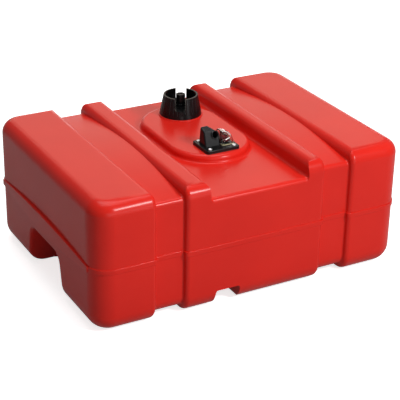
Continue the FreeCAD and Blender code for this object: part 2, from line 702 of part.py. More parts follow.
def cap_shell():
    shell = cap_cone(CAP_BASE_RADIUS, CAP_RIM_RADIUS, CAP_BASE_Z, CAP_RIM_Z)
    inner_base = CAP_BASE_RADIUS - CAP_WALL
    inner_rim = CAP_RIM_RADIUS - CAP_WALL
    shell = shell.cut(cap_cone(inner_base, inner_rim, CAP_BASE_Z - 1, INNER_CAP_TOP_Z))
    shell = shell.cut(cap_cone(inner_base, inner_rim, CAP_FLOOR_Z, CAP_RIM_Z + 1))
    shell = shell.cut(cylinder(CAP_FLOOR_HOLE, INNER_CAP_TOP_Z - 1, CAP_FLOOR_Z + 1, FILLER_X, FILLER_Y))
    for index in range(CAP_FLUTES):
        angle = math.radians(CAP_SLOT_TURN) + 2 * math.pi * (index + 0.5) / CAP_FLUTES
        shell = shell.cut(cap_flute(angle))
    sill_z = CAP_FLOOR_Z + CAP_SLOT_SILL
    for turn in (0.0, 180.0):
        corner = Vector(0, -CAP_SLOT_WIDTH / 2, sill_z)
        slot = Part.makeBox(CAP_BASE_RADIUS, CAP_SLOT_WIDTH, CAP_HEIGHT, corner)
        sill = edges_where(slot, lambda edge: lies_at_z(edge, sill_z) and edge.BoundBox.XLength > 1)
        slot = slot.makeFillet(CAP_SLOT_RADIUS, sill)
        slot.rotate(Vector(0, 0, 0), Vector(0, 0, 1), CAP_SLOT_TURN + turn)
        slot.translate(Vector(FILLER_X, FILLER_Y, 0))
        shell = shell.cut(slot)
    return shell


def inner_cap():
    cap = cylinder(INNER_CAP_RADIUS, INNER_CAP_LOW_Z, INNER_CAP_TOP_Z, FILLER_X, FILLER_Y)
    step_z = INNER_CAP_TOP_Z + BOSS_STEP_HEIGHT
    cap = cap.fuse(cylinder(BOSS_STEP_RADIUS, INNER_CAP_TOP_Z - 1, step_z, FILLER_X, FILLER_Y))
    cap = cap.fuse(cylinder(BOSS_RADIUS, INNER_CAP_TOP_Z - 1, BOSS_TOP_Z, FILLER_X, FILLER_Y))
    cap = cap.cut(cylinder(INNER_CAP_BORE, INNER_CAP_LOW_Z - 1, INNER_CAP_UNDER_Z, FILLER_X, FILLER_Y))
    return cap.cut(cylinder(VENT_SEAT_RADIUS, INNER_CAP_UNDER_Z - 1, BOSS_TOP_Z + 1, FILLER_X, FILLER_Y))


def cap_gasket():
    bore = NECK_BORE - CAP_GASKET_LIP
    return ring(NECK_RADIUS, bore, NECK_TOP_Z, INNER_CAP_UNDER_Z, FILLER_X, FILLER_Y)


def vent_seat():
    return ring(VENT_SEAT_RADIUS, VENT_BORE, VENT_SEAT_LOW_Z, BOSS_TOP_Z, FILLER_X, FILLER_Y)


def vent_seal():
    return ring(VENT_SEAL_RADIUS, VENT_BORE, BOSS_TOP_Z, VENT_KNOB_Z, FILLER_X, FILLER_Y)


def vent_knob():
    disc_z = VENT_KNOB_Z + VENT_DISC_HEIGHT
    top_z = VENT_KNOB_Z + VENT_KNOB_HEIGHT
    knob = cylinder(VENT_KNOB_RADIUS, VENT_KNOB_Z, disc_z, FILLER_X, FILLER_Y)
    knob = knob.fuse(cylinder(VENT_GRIP_RADIUS, VENT_KNOB_Z, top_z, FILLER_X, FILLER_Y))
    for index in range(VENT_RIBS):
        rib = Part.makeBox(
            VENT_GRIP_RADIUS + VENT_RIB_PROUD, VENT_RIB_WIDTH, VENT_KNOB_HEIGHT,
            Vector(0, -VENT_RIB_WIDTH / 2, VENT_KNOB_Z)
        )
        rib.rotate(Vector(0, 0, 0), Vector(0, 0, 1), 360.0 * index / VENT_RIBS)
        rib.translate(Vector(FILLER_X, FILLER_Y, 0))
        knob = knob.fuse(rib)
    tail_z = VENT_CLIP_TOP_Z - VENT_CLIP_THICKNESS - VENT_STEM_TAIL
    return knob.fuse(cylinder(VENT_STEM_RADIUS, tail_z, VENT_KNOB_Z + 1, FILLER_X, FILLER_Y)).removeSplitter()


def vent_clip():
    low = VENT_CLIP_TOP_Z - VENT_CLIP_THICKNESS
    return ring(VENT_CLIP_RADIUS, VENT_STEM_RADIUS, low, VENT_CLIP_TOP_Z, FILLER_X, FILLER_Y)


# ---------------------------------------------------------------- withdrawal head
def flange_outline():
    half_x = FLANGE_LENGTH / 2.0
    half_y = FLANGE_WIDTH / 2.0
    return rectangle(HEAD_X - half_x, HEAD_X + half_x, HEAD_Y - half_y, HEAD_Y + half_y, FLANGE_CORNER_RADIUS)


def head_gasket():
    gasket = prism(flange_outline(), in_plan, Vector(0, 0, PAD_Z), Vector(0, 0, HEAD_GASKET_THICKNESS))
    gasket = gasket.cut(cylinder(HEAD_OPENING_RADIUS, PAD_Z - 1, FLANGE_Z + 1, HEAD_X, HEAD_Y))
    for x, y in screw_places():
        gasket = gasket.cut(cylinder(SCREW_RADIUS + SCREW_HOLE_CLEARANCE, PAD_Z - 1, FLANGE_Z + 1, x, y))
    return gasket


def port_axis():
    """The middle of the port on the front face of the tower, and the way it points."""
    brow = Vector(PORT_X, TOWER_BROW_Y, TOWER_BROW_Z)
    root = Vector(PORT_X, TOWER_FOOT_Y, TOWER_ROOT_Z)
    slope = root - brow
    outward = Vector(0, slope.z, -slope.y)
    outward.normalize()
    return brow + slope * PORT_ALONG, outward


def port_inner_end():
    """The middle of the inner end of the port, over the pickup tube."""
    middle, outward = port_axis()
    return middle - outward * (PORT_LENGTH - PORT_RING_PROUD)


def tower():
    side = [
        (TOWER_REAR_Y, TOWER_ROOT_Z, 0),
        (TOWER_REAR_Y, TOWER_TOP_Z, TOWER_BROW_RADIUS),
        (TOWER_BROW_Y, TOWER_BROW_Z, TOWER_BROW_RADIUS),
        (TOWER_FOOT_Y, TOWER_ROOT_Z, 0),
    ]
    left = TOWER_LEFT_X - TOWER_LEFT_DRAFT
    block = prism(side, in_end_view, Vector(left - 1, 0, 0), Vector(TOWER_RIGHT_X - left + 2, 0, 0))
    front = [
        (left, TOWER_ROOT_Z - 1, 0),
        (TOWER_RIGHT_X, TOWER_ROOT_Z - 1, 0),
        (TOWER_RIGHT_X, TOWER_SHOULDER_Z, TOWER_CORNER_RADIUS),
        (TOWER_CREST_X, TOWER_TOP_Z, TOWER_CREST_RADIUS),
        (TOWER_LEFT_X, TOWER_TOP_Z, TOWER_CORNER_RADIUS),
    ]
    depth = TOWER_REAR_Y - TOWER_FOOT_Y
    hood = block.common(prism(front, in_front_view, Vector(0, TOWER_FOOT_Y - 1, 0), Vector(0, depth + 2, 0)))
    uprights = []
    for edge in hood.Edges:
        box = edge.BoundBox
        if box.ZMin < TOWER_ROOT_Z + 1 and box.ZLength > TOWER_SHOULDER_HEIGHT / 2.0:
            uprights.append(edge)
    return hood.makeFillet(TOWER_EDGE_RADIUS, uprights)


def withdrawal_head():
    flange = prism(flange_outline(), in_plan, Vector(0, 0, FLANGE_Z), Vector(0, 0, FLANGE_THICKNESS))
    rims = edges_where(flange, lambda edge: lies_at_z(edge, FLANGE_TOP_Z))
    head = flange.makeFillet(FLANGE_EDGE_RADIUS, rims).fuse(tower())
    inner_end = port_inner_end()
    middle, outward = port_axis()
    pickup_y = inner_end.y
    head = head.fuse(cylinder(PICKUP_RADIUS + SOCKET_WALL, SOCKET_LOW_Z, FLANGE_Z + 1, PORT_X, pickup_y))
    for side in (-1, 1):
        front = LEVER_Y + side * (EAR_GAP + EAR_THICKNESS) / 2.0 - EAR_THICKNESS / 2.0
        ear = cross_cylinder(EAR_RADIUS, PIVOT_X, front, front + EAR_THICKNESS, PIVOT_Z)
        corner = Vector(PIVOT_X - EAR_RADIUS, front, FLANGE_TOP_Z - 1)
        base = Part.makeBox(2 * EAR_RADIUS, EAR_THICKNESS, PIVOT_HEIGHT + 1, corner)
        head = head.fuse(ear.fuse(base))
    head = head.cut(rod(PORT_BORE + PORT_WALL, inner_end, middle + outward * MARGIN))
    passage = Part.makeSphere(PASSAGE_RADIUS, inner_end)
    passage = passage.fuse(cylinder(PASSAGE_RADIUS, SOCKET_LOW_Z, inner_end.z, PORT_X, pickup_y))
    head = head.cut(passage)
    head = head.cut(cylinder(PICKUP_RADIUS, SOCKET_LOW_Z - 1, PICKUP_TOP_Z, PORT_X, pickup_y))
    well = Part.makeBox(
        2 * WELL_HALF_LENGTH, EAR_GAP, FLANGE_THICKNESS + 2,
        Vector(PIVOT_X - WELL_HALF_LENGTH, LEVER_Y - EAR_GAP / 2.0, FLANGE_Z - 1)
    )
    head = head.cut(well)
    pin_half = EAR_GAP / 2.0 + EAR_THICKNESS + 1
    head = head.cut(cross_cylinder(PIN_RADIUS, PIVOT_X, LEVER_Y - pin_half, LEVER_Y + pin_half, PIVOT_Z))
    for x, y in screw_places():
        head = head.cut(cylinder(SCREW_RADIUS + SCREW_HOLE_CLEARANCE, FLANGE_Z - 1, FLANGE_TOP_Z + 1, x, y))
    return head


def flange_screws():
    solids = []
    for x, y in screw_places():
        screw = cylinder(SCREW_HEAD_RADIUS, FLANGE_TOP_Z, FLANGE_TOP_Z + SCREW_HEAD_HEIGHT, x, y)
        rim = edges_where(screw, lambda edge: lies_at_z(edge, FLANGE_TOP_Z + SCREW_HEAD_HEIGHT))
        screw = screw.makeFillet(1.0, rim)
        screw = screw.fuse(cylinder(SCREW_RADIUS, FLANGE_TOP_Z - SCREW_LENGTH, FLANGE_TOP_Z + 1, x, y))
        solids.append(screw.removeSplitter())
    return Part.makeCompound(solids)


def fuel_port():
    middle, outward = port_axis()
    inner_end = port_inner_end()
    mouth = middle + outward * PORT_RING_PROUD
    port = rod(PORT_BORE + PORT_WALL, inner_end, mouth)
    port = port.fuse(rod(PORT_BORE + PORT_RING_WALL, middle, mouth))
    return port.cut(rod(PORT_BORE, inner_end - outward, mouth + outward)).removeSplitter()


def pickup_tube():
    bore = PICKUP_RADIUS - PICKUP_WALL
    return ring(PICKUP_RADIUS, bore, PICKUP_LOW_Z, PICKUP_TOP_Z, PORT_X, port_inner_end().y)


def pickup_filter():
    top = FILTER_LOW_Z + FILTER_HEIGHT
    pickup_y = port_inner_end().y
    strainer = cylinder(FILTER_RADIUS, FILTER_LOW_Z, top, PORT_X, pickup_y)
    hollow_low = FILTER_LOW_Z + FILTER_WALL
    hollow_top = top - FILTER_RING_HEIGHT
    strainer = strainer.cut(cylinder(FILTER_RADIUS - FILTER_WALL, hollow_low, hollow_top, PORT_X, pickup_y))
    strainer = strainer.cut(cylinder(PICKUP_RADIUS, hollow_low, top + 1, PORT_X, pickup_y))
    for index in range(FILTER_WINDOWS):
        window = Part.makeBox(
            FILTER_RADIUS + 1, FILTER_WINDOW_WIDTH, hollow_top - hollow_low - 2 * FILTER_WALL,
            Vector(0, -FILTER_WINDOW_WIDTH / 2, hollow_low + FILTER_WALL)
        )
        window = window.cut(cylinder(FILTER_RADIUS - FILTER_WALL - 1, 0, TANK_HEIGHT))
        window.rotate(Vector(0, 0, 0), Vector(0, 0, 1), 360.0 * index / FILTER_WINDOWS)
        window.translate(Vector(PORT_X, pickup_y, 0))
        strainer = strainer.cut(window)
    return strainer


# ---------------------------------------------------------------- float gauge
def quarter_round(inset, z_low, front_y, rear_y):
    """A quarter disc standing on z_low, square to Y, inside the curve of the window."""
    radius = LENS_RADIUS - inset
    left = LENS_LEFT_X + inset
    reach = math.sqrt(radius * radius - inset * inset) if inset else radius
    start = Vector(LENS_LEFT_X + reach, front_y, FLANGE_TOP_Z + inset)
    top = Vector(left, front_y, FLANGE_TOP_Z + reach)
    turn = math.radians(45.0)
    middle = Vector(
        LENS_LEFT_X + radius * math.cos(turn), front_y, FLANGE_TOP_Z + radius * math.sin(turn)
    )
    outline = Part.Wire([
        Part.makeLine(Vector(left, front_y, z_low), Vector(start.x, front_y, z_low)),
        Part.makeLine(Vector(start.x, front_y, z_low), start),
        Part.Arc(start, middle, top).toShape(),
        Part.makeLine(top, Vector(left, front_y, z_low)),
    ])
    return Part.Face(outline).extrude(Vector(0, rear_y - front_y, 0))


def lens_foot(grow, z_low, z_high):
    left = LENS_LEFT_X
    right = LENS_LEFT_X + LENS_RADIUS + grow
    front = LENS_FRONT_Y - grow
    rear = LENS_REAR_Y + grow
    round_off = LENS_EDGE_RADIUS + grow
    corners = [(left, front, 1.0), (right, front, round_off), (right, rear, round_off), (left, rear, 1.0)]
    return prism(corners, in_plan, Vector(0, 0, z_low), Vector(0, 0, z_high - z_low))


def gauge_lens():
    z_low = LENS_FOOT_Z
    outside = quarter_round(0.0, z_low - 4, LENS_FRONT_Y, LENS_REAR_Y)
    outside = outside.makeFillet(LENS_EDGE_RADIUS, curved_edges(outside))
    foot_top = z_low + LENS_FOOT_THICKNESS
    lens = outside.fuse(lens_foot(LENS_FOOT_WIDTH, z_low, foot_top))
    inside = quarter_round(LENS_WALL, z_low - 4, LENS_FRONT_Y + LENS_WALL, LENS_REAR_Y - LENS_WALL)
    inside = inside.makeFillet(LENS_EDGE_RADIUS - LENS_WALL, curved_edges(inside))
    lens = lens.cut(inside)
    below = Part.makeBox(200, 200, 20, Vector(-100, -150, z_low - 20))
    return lens.cut(below)


def curved_edges(shape):
    """The rims of the quarter disc, with the short upright edges they run into."""
    rims = []
    for edge in shape.Edges:
        box = edge.BoundBox
        upright = box.XLength < 1e-4 and abs(box.XMax - shape.BoundBox.XMax) < 1e-3 and box.ZLength > 1e-3
        curved = box.XLength > 5 and box.ZLength > 5
        if box.YLength < 1e-4 and (upright or curved):
            rims.append(edge)
    return rims


def lens_gasket():
    gasket = lens_foot(LENS_FOOT_WIDTH, FLANGE_TOP_Z, LENS_FOOT_Z)
    left = LENS_LEFT_X + LENS_WALL
    right = LENS_LEFT_X + LENS_RADIUS - LENS_WALL
    front = LENS_FRONT_Y + LENS_WALL
    rear = LENS_REAR_Y - LENS_WALL
    corners = rectangle(left, right, front, rear, LENS_EDGE_RADIUS - LENS_WALL)
    return gasket.cut(prism(corners, in_plan, Vector(0, 0, FLANGE_TOP_Z - 1), Vector(0, 0, 4)))


def gauge_scale():
    return quarter_round(LENS_WALL + SCALE_CLEARANCE, FLANGE_TOP_Z, SCALE_Y, SCALE_Y + SCALE_THICKNESS)


def on_swing(reach, degrees):
    """A point in the plane of the lever, at a reach and an angle from the pivot."""
    angle = math.radians(degrees)
    return Vector(PIVOT_X + reach * math.cos(angle), LEVER_Y, PIVOT_Z + reach * math.sin(angle))


def float_lever():
    half = LEVER_HUB_WIDTH / 2.0
    lever = cross_cylinder(LEVER_HUB_RADIUS, PIVOT_X, LEVER_Y - half, LEVER_Y + half, PIVOT_Z)
    tip = on_swing(POINTER_LENGTH, POINTER_EMPTY_DEG)
    elbow = on_swing(LEG_LENGTH, LEG_EMPTY_DEG)
    corner = on_swing(FLOAT_REACH, FLOAT_EMPTY_DEG)
    end = Vector(corner.x, FLOAT_REAR_Y + CLIP_THICKNESS + WIRE_TAIL, corner.z)
    lever = lever.fuse(rod(POINTER_RADIUS, on_swing(0.5, POINTER_EMPTY_DEG), tip))
    lever = lever.fuse(rod(WIRE_RADIUS, on_swing(0.5, LEG_EMPTY_DEG), elbow))
    lever = lever.fuse(Part.makeSphere(WIRE_RADIUS, elbow))
    lever = lever.fuse(rod(WIRE_RADIUS, elbow, corner))
    lever = lever.fuse(Part.makeSphere(WIRE_RADIUS, corner))
    lever = lever.fuse(rod(WIRE_RADIUS, corner, end))
    bore = PIN_RADIUS + PIN_CLEARANCE
    return lever.cut(cross_cylinder(bore, PIVOT_X, LEVER_Y - half - 1, LEVER_Y + half + 1, PIVOT_Z))


def pivot_pin():
    half = EAR_GAP / 2.0 + EAR_THICKNESS
    return cross_cylinder(PIN_RADIUS, PIVOT_X, LEVER_Y - half, LEVER_Y + half, PIVOT_Z)


def gauge_float():
    body = cross_cylinder(FLOAT_RADIUS, FLOAT_X, FLOAT_FRONT_Y, FLOAT_REAR_Y, FLOAT_Z)
    rims = edges_where(body, lambda edge: edge.BoundBox.YLength < 1e-4)
    body = body.makeFillet(FLOAT_EDGE_RADIUS, rims)
    return body.cut(cross_cylinder(WIRE_RADIUS, FLOAT_X, FLOAT_FRONT_Y - 1, FLOAT_REAR_Y + 1, FLOAT_Z))


def float_clips():
    solids = []
    for front in (FLOAT_FRONT_Y - CLIP_THICKNESS, FLOAT_REAR_Y):
        rear = front + CLIP_THICKNESS
        clip = cross_cylinder(CLIP_RADIUS, FLOAT_X, front, rear, FLOAT_Z)
        solids.append(clip.cut(cross_cylinder(WIRE_RADIUS, FLOAT_X, front - 1, rear + 1, FLOAT_Z)))
    return Part.makeCompound(solids)


# ---------------------------------------------------------------- all the pieces
PARTS = (
    tank_body,
    screw_inserts,
    cap_shell,
    inner_cap,
    cap_gasket,
    vent_seat,
    vent_knob,
    vent_seal,
    vent_clip,
    head_gasket,
    withdrawal_head,
    flange_screws,
    fuel_port,
    pickup_tube,
    pickup_filter,
    gauge_lens,
    lens_gasket,
    gauge_scale,
    float_lever,
    pivot_pin,
    gauge_float,
    float_clips,
)


def main():
    os.makedirs("parts", exist_ok=True)
    for build in PARTS:
        shape = build()
        name = build.__name__
        volume = round(shape.Volume / 1000.0, 2)
        print(name, len(shape.Solids), "solids, valid:", shape.isValid(), volume, "cm3")
        shape.exportStep("parts/%s.step" % name)


main()
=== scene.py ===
import json
import math

import bmesh
import bpy
from mathutils import Matrix, Vector

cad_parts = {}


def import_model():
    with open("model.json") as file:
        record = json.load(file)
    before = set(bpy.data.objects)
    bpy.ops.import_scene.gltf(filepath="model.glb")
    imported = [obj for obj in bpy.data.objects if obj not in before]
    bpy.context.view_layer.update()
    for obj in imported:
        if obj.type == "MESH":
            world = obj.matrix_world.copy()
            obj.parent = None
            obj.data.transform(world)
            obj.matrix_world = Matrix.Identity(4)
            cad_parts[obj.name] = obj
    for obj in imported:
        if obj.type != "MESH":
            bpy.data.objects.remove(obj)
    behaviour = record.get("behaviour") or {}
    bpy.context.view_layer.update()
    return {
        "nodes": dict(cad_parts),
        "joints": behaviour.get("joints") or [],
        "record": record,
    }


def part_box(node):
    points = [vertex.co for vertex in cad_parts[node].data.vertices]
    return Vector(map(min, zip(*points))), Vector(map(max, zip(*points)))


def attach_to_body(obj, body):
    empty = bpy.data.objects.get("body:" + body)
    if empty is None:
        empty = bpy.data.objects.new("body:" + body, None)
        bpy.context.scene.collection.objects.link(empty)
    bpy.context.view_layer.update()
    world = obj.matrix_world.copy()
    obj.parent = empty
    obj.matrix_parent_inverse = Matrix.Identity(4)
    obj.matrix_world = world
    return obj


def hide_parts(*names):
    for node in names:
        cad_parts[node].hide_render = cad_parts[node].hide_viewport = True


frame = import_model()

NODES = frame["nodes"]
MM = 0.001

# ---------------------------------------------------------------- camera
CAMERA_PLACE = Vector((-1.0254, -1.8586, 1.1210))
CAMERA_BACK = Vector((-0.4378, -0.7868, 0.4350))
CAMERA_ROLL_DEG = -1.11
FOCAL_LENGTH_MM = 115.53

# ---------------------------------------------------------------- colours (linear)
TANK_RED = (0.720, 0.0200, 0.0115, 1.0)
TANK_RED_DEEP = (0.655, 0.0165, 0.0098, 1.0)
BLACK_PLASTIC = (0.0030, 0.0030, 0.0034, 1.0)
BLACK_PLASTIC_WORN = (0.0070, 0.0070, 0.0074, 1.0)
RUBBER_BLACK = (0.012, 0.012, 0.012, 1.0)
RUBBER_GREY = (0.024, 0.024, 0.024, 1.0)
CREAM_DEEP = (0.900, 0.800, 0.440, 1.0)
CREAM = (0.960, 0.890, 0.580, 1.0)
CARD_DARK = (0.035, 0.006, 0.006, 1.0)
CARD_MAROON = (0.110, 0.012, 0.014, 1.0)

# ---------------------------------------------------------------- studio levels
FLOOR_BOUNCE = (0.34, 0.34, 0.34, 1.0)
FLOOR_LIFT = 0.75
ROOM_LIGHT = 0.14
SHEEN_SHARE = 0.15
WARM_WHITE = (1.0, 0.84, 0.68)
FLOOR_SIZE = 12.0
FLOOR_DROP = 0.0006

# ---------------------------------------------------------------- gloss
TANK_ROUGHNESS = (0.22, 0.28)
TANK_SPECULAR = 0.22
BLACK_ROUGHNESS = (0.20, 0.30)
BLACK_SPECULAR = 0.26
SMOOTH_UNDER_DEG = 35.0

# ---------------------------------------------------------------- channel under the tank (mm)
HALF_WIDTH = 216.0
LOWER_ROUND = 33.0
CHANNEL_RISE = 16.0
CHANNEL_RISE_ALONG = (-98.0, -73.0, -23.0, -5.0)
CHANNEL_RISE_UP = (4.0, 16.0, 22.0, 62.0)
CHANNEL_WIDEN = 10.0
CHANNEL_WIDEN_ALONG = (-112.0, -72.0, -60.0, -40.0)
CHANNEL_WIDEN_UP = (-2.0, -1.0, 30.0, 62.0)
CHANNEL_CUT_STEP = 4.0
CHANNEL_CUT_HEIGHTS = (38.0, 44.0, 50.0, 56.0, 62.0)
ROUND_SLACK = 0.5

# ---------------------------------------------------------------- fittings (mm)
SCREW_SPACING_X = 48.0
SCREW_SPACING_Y = 43.0
SCREW_THREAD_PITCH = 1.4
SCREW_THREAD_DEPTH = 0.35
SCREW_SHANK_RADIUS = 2.0
SCREW_TIP_RADIUS = 1.1
SCREW_TIP_LENGTH = 0.6
SCREW_NECK_LENGTH = 0.4
SCREW_HEAD_RADIUS = 3.5
SCREW_HEAD_HEIGHT = 2.0
SCREW_HEAD_BEVEL = (0.15, 0.2)
SCREW_DOME = 0.9
SCREW_DOME_STEPS = 7
SCREW_DOME_POWER = 0.6
SCREW_CROWN_SHARE = 0.12
CROSS_LENGTH = 4.2
CROSS_WIDTH = 0.9
CROSS_DEPTH = 1.3
CROSS_OVERCUT = 0.5
CROSS_FOOT_SHARE = 0.55
CROSS_MOUTH_SHARE = 1.1

PORT_SEAT_DEPTH = 4.5
PORT_BORE = 5.6
PORT_SLEEVE_RADIUS = 6.8
PORT_RING_RADIUS = 8.0
PORT_RING_PROUD = 2.0
PORT_INNER_DEPTH = 11.0
PORT_CHAMFER = 0.7
PORT_THREAD_PITCH = 1.41
PORT_THREAD_DEPTH = 0.75
PORT_MOUTH_LIP = 0.25

KNOB_CLEARANCE = 0.03
KNOB_DISC_HEIGHT = 1.6
KNOB_GRIP_RADIUS = 7.7
KNOB_LOBE_HEIGHT = 1.25
KNOB_LOBES = 8
KNOB_TOP_ROUND = 0.8
KNOB_DISH_RADIUS = 5.6
KNOB_DISH_DEPTH = 1.4
KNOB_DISH_TAPER = 0.5
KNOB_DISC_BEVEL_LOW = 0.3
KNOB_DISC_BEVEL_TOP = 0.4
STEM_RADIUS = 2.92
STEM_THREAD_DEPTH = 0.3
STEM_THREAD_PITCH = 1.25
STEM_END_BEVEL = (0.5, 0.4)
STEM_NECK_LENGTH = 0.2

NECK_RADIUS = 26.0
NECK_THREAD_HEIGHT = 0.28
NECK_THREAD_WIDTH = 2.2
NECK_THREAD_PITCH = 4.2
NECK_THREAD_TURNS = 1.6
NECK_THREAD_TOP = 1.6
NECK_THREAD_ROOT = 0.3
NECK_THREAD_STEPS = 72
NECK_THREAD_FADE = 12
NECK_THREAD_THINNEST = 0.1

MARK_COUNT = 5
MARK_ARC_RADIUS = 12.2
MARK_FIRST_DEG = 20.0
MARK_SWEEP_DEG = 51.85
MARK_LENGTH = 1.8
MARK_WIDTH = 0.6
MARK_PROUD = 0.12


# ---------------------------------------------------------------- material helpers
def new_material(name):
    material = bpy.data.materials.new(name)
    material.use_nodes = True
    tree = material.node_tree
    shader = tree.nodes["Principled BSDF"]
    coords = tree.nodes.new("ShaderNodeTexCoord")
    return material, tree, shader, coords


def noise(tree, coords, scale, detail=3.0, roughness=0.5):
    texture = tree.nodes.new("ShaderNodeTexNoise")
    texture.inputs["Scale"].default_value = scale
    texture.inputs["Detail"].default_value = detail
    texture.inputs["Roughness"].default_value = roughness
    tree.links.new(coords.outputs["Object"], texture.inputs["Vector"])
    return texture.outputs["Fac"]


def blend_colour(tree, factor, low, high):
    ramp = tree.nodes.new("ShaderNodeValToRGB")
    ramp.color_ramp.elements[0].position = 0.3
    ramp.color_ramp.elements[0].color = low
    ramp.color_ramp.elements[1].position = 0.7
    ramp.color_ramp.elements[1].color = high
    tree.links.new(factor, ramp.inputs["Fac"])
    return ramp.outputs["Color"]


def remap(tree, factor, low, high):
    mapped = tree.nodes.new("ShaderNodeMapRange")
    mapped.inputs["To Min"].default_value = low
    mapped.inputs["To Max"].default_value = high
    tree.links.new(factor, mapped.inputs["Value"])
    return mapped.outputs["Result"]


def bump(tree, height, strength, distance, below=None):
    node = tree.nodes.new("ShaderNodeBump")
    node.inputs["Strength"].default_value = strength
    node.inputs["Distance"].default_value = distance
    tree.links.new(height, node.inputs["Height"])
    if below is not None:
        tree.links.new(below, node.inputs["Normal"])
    return node.outputs["Normal"]


def moulded_plastic(
    name, low, high, rough_low, rough_high, grain=900.0, depth=0.00006, specular=0.5
):
    """Moulded plastic: slow colour drift, a fine matt grain and a slightly uneven gloss."""
    material, tree, shader, coords = new_material(name)
    drift = noise(tree, coords, 9.0, 4.0)
    tree.links.new(blend_colour(tree, drift, low, high), shader.inputs["Base Color"])
    mottle = noise(tree, coords, 60.0, 5.0, 0.6)
    tree.links.new(remap(tree, mottle, rough_low, rough_high), shader.inputs["Roughness"])
    fine = noise(tree, coords, grain, 2.0)
    tree.links.new(bump(tree, fine, 0.35, depth), shader.inputs["Normal"])
    shader.inputs["Specular IOR Level"].default_value = specular
    return material


def tank_plastic():
    """Red moulded polyethylene: fine grain over a faint orange-peel waviness."""
    material, tree, shader, coords = new_material("tank_red_plastic")
    drift = noise(tree, coords, 7.0, 4.0)
    tree.links.new(blend_colour(tree, drift, TANK_RED_DEEP, TANK_RED), shader.inputs["Base Color"])
    mottle = noise(tree, coords, 45.0, 5.0, 0.6)
    tree.links.new(remap(tree, mottle, *TANK_ROUGHNESS), shader.inputs["Roughness"])
    wave = bump(tree, noise(tree, coords, 26.0, 0.0), 0.10, 0.0004)
    fine = noise(tree, coords, 1100.0, 2.0)
    tree.links.new(bump(tree, fine, 0.12, 0.00004, wave), shader.inputs["Normal"])
    shader.inputs["Specular IOR Level"].default_value = TANK_SPECULAR
    shader.inputs["Subsurface Weight"].default_value = 0.05
    shader.inputs["Subsurface Radius"].default_value = (0.012, 0.002, 0.001)
    return material


def rubber(name, low, high):
    return moulded_plastic(name, low, high, 0.6, 0.8, 500.0, 0.0001, 0.3)


def metal(name, low, high, rough_low, rough_high, stretch=(1.0, 1.0, 60.0)):
    """Turned or drawn metal with fine directional marks."""
    material, tree, shader, coords = new_material(name)
    mapping = tree.nodes.new("ShaderNodeMapping")
    mapping.inputs["Scale"].default_value = stretch
    tree.links.new(coords.outputs["Object"], mapping.inputs["Vector"])
    marks = tree.nodes.new("ShaderNodeTexNoise")
    marks.inputs["Scale"].default_value = 40.0
    marks.inputs["Detail"].default_value = 4.0
    tree.links.new(mapping.outputs["Vector"], marks.inputs["Vector"])
    tree.links.new(blend_colour(tree, marks.outputs["Fac"], low, high), shader.inputs["Base Color"])
    tree.links.new(remap(tree, marks.outputs["Fac"], rough_low, rough_high), shader.inputs["Roughness"])
    tree.links.new(bump(tree, marks.outputs["Fac"], 0.2, 0.00004), shader.inputs["Normal"])
    shader.inputs["Metallic"].default_value = 1.0
    return material


def clear_plastic():
    """The clear window: faint moulding ripple, nearly colourless."""
    material, tree, shader, coords = new_material("clear_window")
    ripple = noise(tree, coords, 120.0, 2.0)
    tree.links.new(
        blend_colour(tree, ripple, (0.90, 0.90, 0.89, 1.0), (0.96, 0.96, 0.95, 1.0)),
        shader.inputs["Base Color"],
    )
    tree.links.new(remap(tree, ripple, 0.03, 0.09), shader.inputs["Roughness"])
    tree.links.new(bump(tree, ripple, 0.1, 0.0002), shader.inputs["Normal"])
    shader.inputs["Transmission Weight"].default_value = 1.0
    shader.inputs["IOR"].default_value = 1.42
    return material


def foam():
    return moulded_plastic(
        "float_foam", (0.02, 0.018, 0.016, 1.0), (0.05, 0.045, 0.04, 1.0), 0.8, 0.95, 350.0, 0.0004
    )


def scale_card():
    """The dark face of the gauge, with a fine printed grain."""
    return moulded_plastic("scale_card", CARD_DARK, CARD_MAROON, 0.40, 0.55, 700.0, 0.00003, 0.4)


def dress(name, material):
    node = NODES[name]
    node.data.materials.clear()
    node.data.materials.append(material)


# ---------------------------------------------------------------- mesh helpers
def node_middle(name):
    """The middle of a CAD node in plan, and its lowest and highest level, in mm."""
    low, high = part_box(name)
    middle = Vector(((low[0] + high[0]) / 2, (low[1] + high[1]) / 2, 0.0)) / MM
    return middle, low[2] / MM, high[2] / MM


def round_section(radius, height, around):
    """A ring of points about the Z axis. The radius is a number, or a rule of the angle."""
    points = []
    for index in range(around):
        angle = 2 * math.pi * index / around
        reach = radius(angle) if callable(radius) else radius
        points.append(Vector((reach * math.cos(angle), reach * math.sin(angle), height)))
    return points


def thread_wave(height, angle, pitch):
    """0 at the root and 1 at the crest of a V thread that climbs one pitch a turn."""
    phase = (height / pitch - angle / (2 * math.pi)) % 1.0
    return 1.0 - abs(2.0 * phase - 1.0)


def threaded_sections(root, depth, pitch, low, high, around, step_share=6):
    """Rings from low to high whose radius follows a V thread, fading out over the end turns."""
    steps = max(2, int(round((high - low) / pitch * step_share)))
    sections = []
    for step in range(steps + 1):
        height = low + (high - low) * step / steps
        fade = min(1.0, (height - low) / pitch, (high - height) / pitch)
        sections.append(round_section(
            lambda angle: root + depth * max(0.0, fade) * thread_wave(height, angle, pitch),
            height, around
        ))
    return sections


